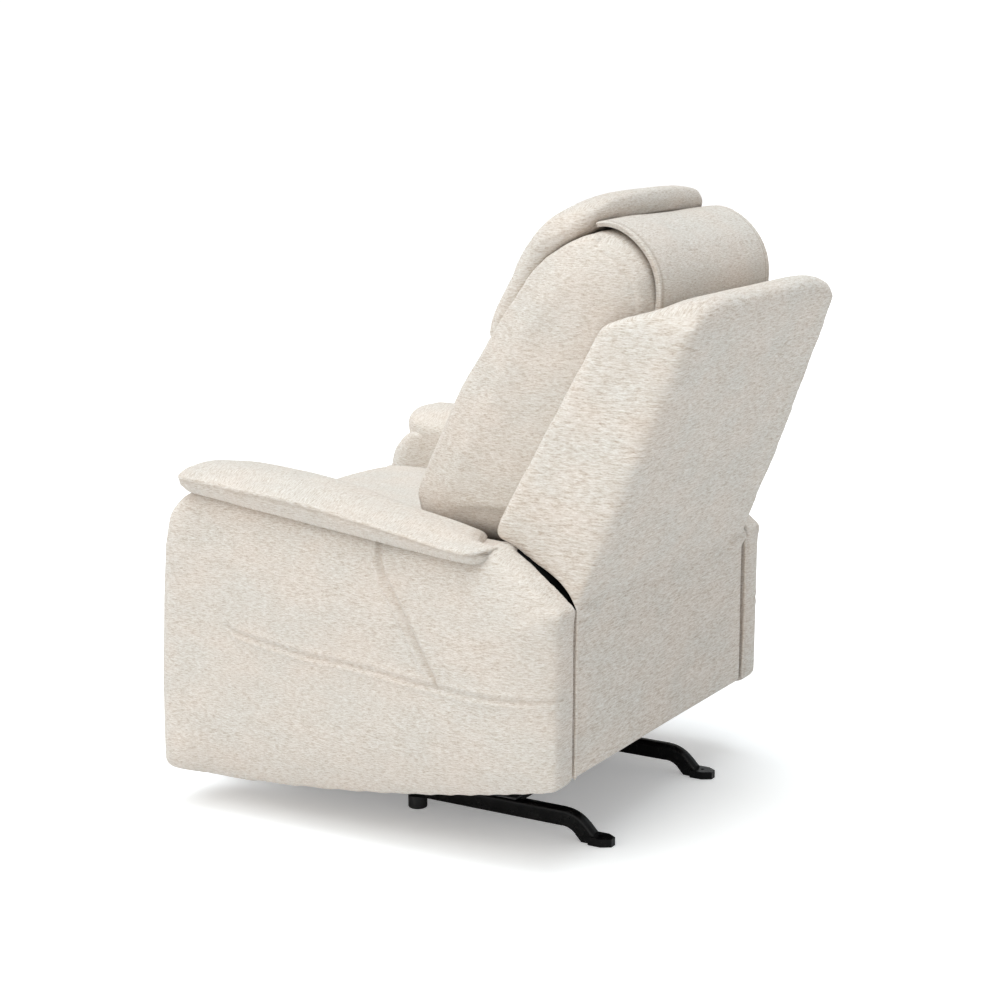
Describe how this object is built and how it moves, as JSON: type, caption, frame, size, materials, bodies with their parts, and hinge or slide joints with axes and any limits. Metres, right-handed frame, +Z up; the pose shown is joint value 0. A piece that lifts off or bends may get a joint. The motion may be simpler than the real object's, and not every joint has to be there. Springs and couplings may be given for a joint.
{
  "type": "recliner armchair",
  "caption": "Upholstered rocker recliner armchair with pillow back, tilting headrest, fold-out footrest and black steel rail base.",
  "frame": {"origin": "On the floor under the middle of the chair's bounding box", "axes": "+Z up, +Y to the chair's rear, +X to the sitter's left"},
  "size_m": [0.86, 0.972, 1.084],
  "materials": {
    "chenille": "matte",
    "webbing": "matte",
    "base_paint": "gloss",
    "foot_plastic": "satin",
    "mechanism_steel": "satin",
    "zinc_steel": "satin",
    "plywood": "matte",
    "latch_plastic": "satin"
  },
  "bodies": {
    "base": {"base_rail_left": "base_paint", "base_rail_right": "base_paint", "base_crossbar_front": "base_paint", "base_crossbar_rear": "base_paint", "rear_foot_left": "foot_plastic", "rear_foot_right": "foot_plastic", "floor_glides": "foot_plastic", "rocker_track_left": "mechanism_steel", "rocker_track_right": "mechanism_steel", "track_bolts": "zinc_steel", "rocker_springs": "zinc_steel"},
    "chassis": {"rocker_cam_left": "mechanism_steel", "rocker_cam_right": "mechanism_steel", "chassis_crossbar_front": "mechanism_steel", "chassis_crossbar_rear": "mechanism_steel", "mechanism_plate_left": "mechanism_steel", "mechanism_plate_right": "mechanism_steel", "seat_rail_left": "plywood", "seat_rail_right": "plywood", "seat_rail_front": "plywood", "seat_rail_rear": "plywood", "seat_webbing": "webbing", "seat_cushion": "chenille", "arm_frame_left": "plywood", "arm_frame_right": "plywood", "arm_outer_panel_left": "chenille", "arm_outer_panel_right": "chenille", "arm_inner_panel_left": "chenille", "arm_inner_panel_right": "chenille", "arm_wrap_left": "chenille", "arm_wrap_right": "chenille", "arm_pad_left": "chenille", "arm_pad_right": "chenille", "back_flap": "chenille", "release_bezel": "latch_plastic", "release_cable": "latch_plastic", "back_pivot_pins": "zinc_steel", "chassis_bolts": "zinc_steel"},
    "latch": {"release_lever": "latch_plastic"},
    "back": {"back_bracket_left": "mechanism_steel", "back_bracket_right": "mechanism_steel", "back_post_left": "plywood", "back_post_right": "plywood", "back_top_rail": "plywood", "back_bottom_rail": "plywood", "back_shell": "chenille", "back_cushion": "chenille", "headrest_arms": "mechanism_steel", "headrest_flap": "chenille"},
    "headrest": {"headrest_pad": "chenille", "headrest_plates": "mechanism_steel"},
    "foot_link_a": {"drive_tube": "mechanism_steel", "foot_link_a_left": "mechanism_steel", "foot_link_a_right": "mechanism_steel"},
    "foot_link_b": {"foot_link_b_left": "mechanism_steel", "foot_link_b_right": "mechanism_steel"},
    "footrest": {"footrest_board": "plywood", "footrest_pad": "chenille", "footrest_brackets": "mechanism_steel"}
  },
  "joints": [
    {"name": "rock", "type": "hinge", "parent": "base", "child": "chassis", "pos_m": [0, -0.02, 0.063], "axis": [-1, 0, 0], "range_deg": [-6, 10], "stiffness_Nm_per_rad": 900, "springref_deg": -0.35, "deforming": ["rocker_springs"]},
    {"name": "recline", "type": "hinge", "parent": "chassis", "child": "back", "pos_m": [0, 0.09, 0.32], "axis": [-1, 0, 0], "range_deg": [0, 36]},
    {"name": "headrest_tilt", "type": "hinge", "parent": "back", "child": "headrest", "pos_m": [0, 0.1, 0.852], "axis": [1, 0, 0], "range_deg": [0, 40]},
    {"name": "footrest_open", "type": "hinge", "parent": "chassis", "child": "foot_link_a", "pos_m": [0, -0.28, 0.33], "axis": [-1, 0, 0], "range_deg": [0, 80]},
    {"name": "footrest_elbow", "type": "hinge", "parent": "foot_link_a", "child": "foot_link_b", "pos_m": [0, -0.2418, 0.11334], "axis": [-1, 0, 0], "range_deg": [-149, 1]},
    {"name": "footrest_turn", "type": "hinge", "parent": "foot_link_b", "child": "footrest", "pos_m": [0, -0.32421, 0.31732], "axis": [-1, 0, 0], "range_deg": [-1, 159]},
    {"name": "latch_pull", "type": "hinge", "parent": "chassis", "child": "latch", "pos_m": [-0.423, -0.244, 0.43], "axis": [0, 0, -1], "range_deg": [0, 25], "stiffness_Nm_per_rad": 0.6}
  ],
  "couplings": [
    {"joint": "footrest_elbow", "follows": "footrest_open", "ratio": -1.85},
    {"joint": "footrest_turn", "follows": "footrest_open", "ratio": 1.975}
  ]
}
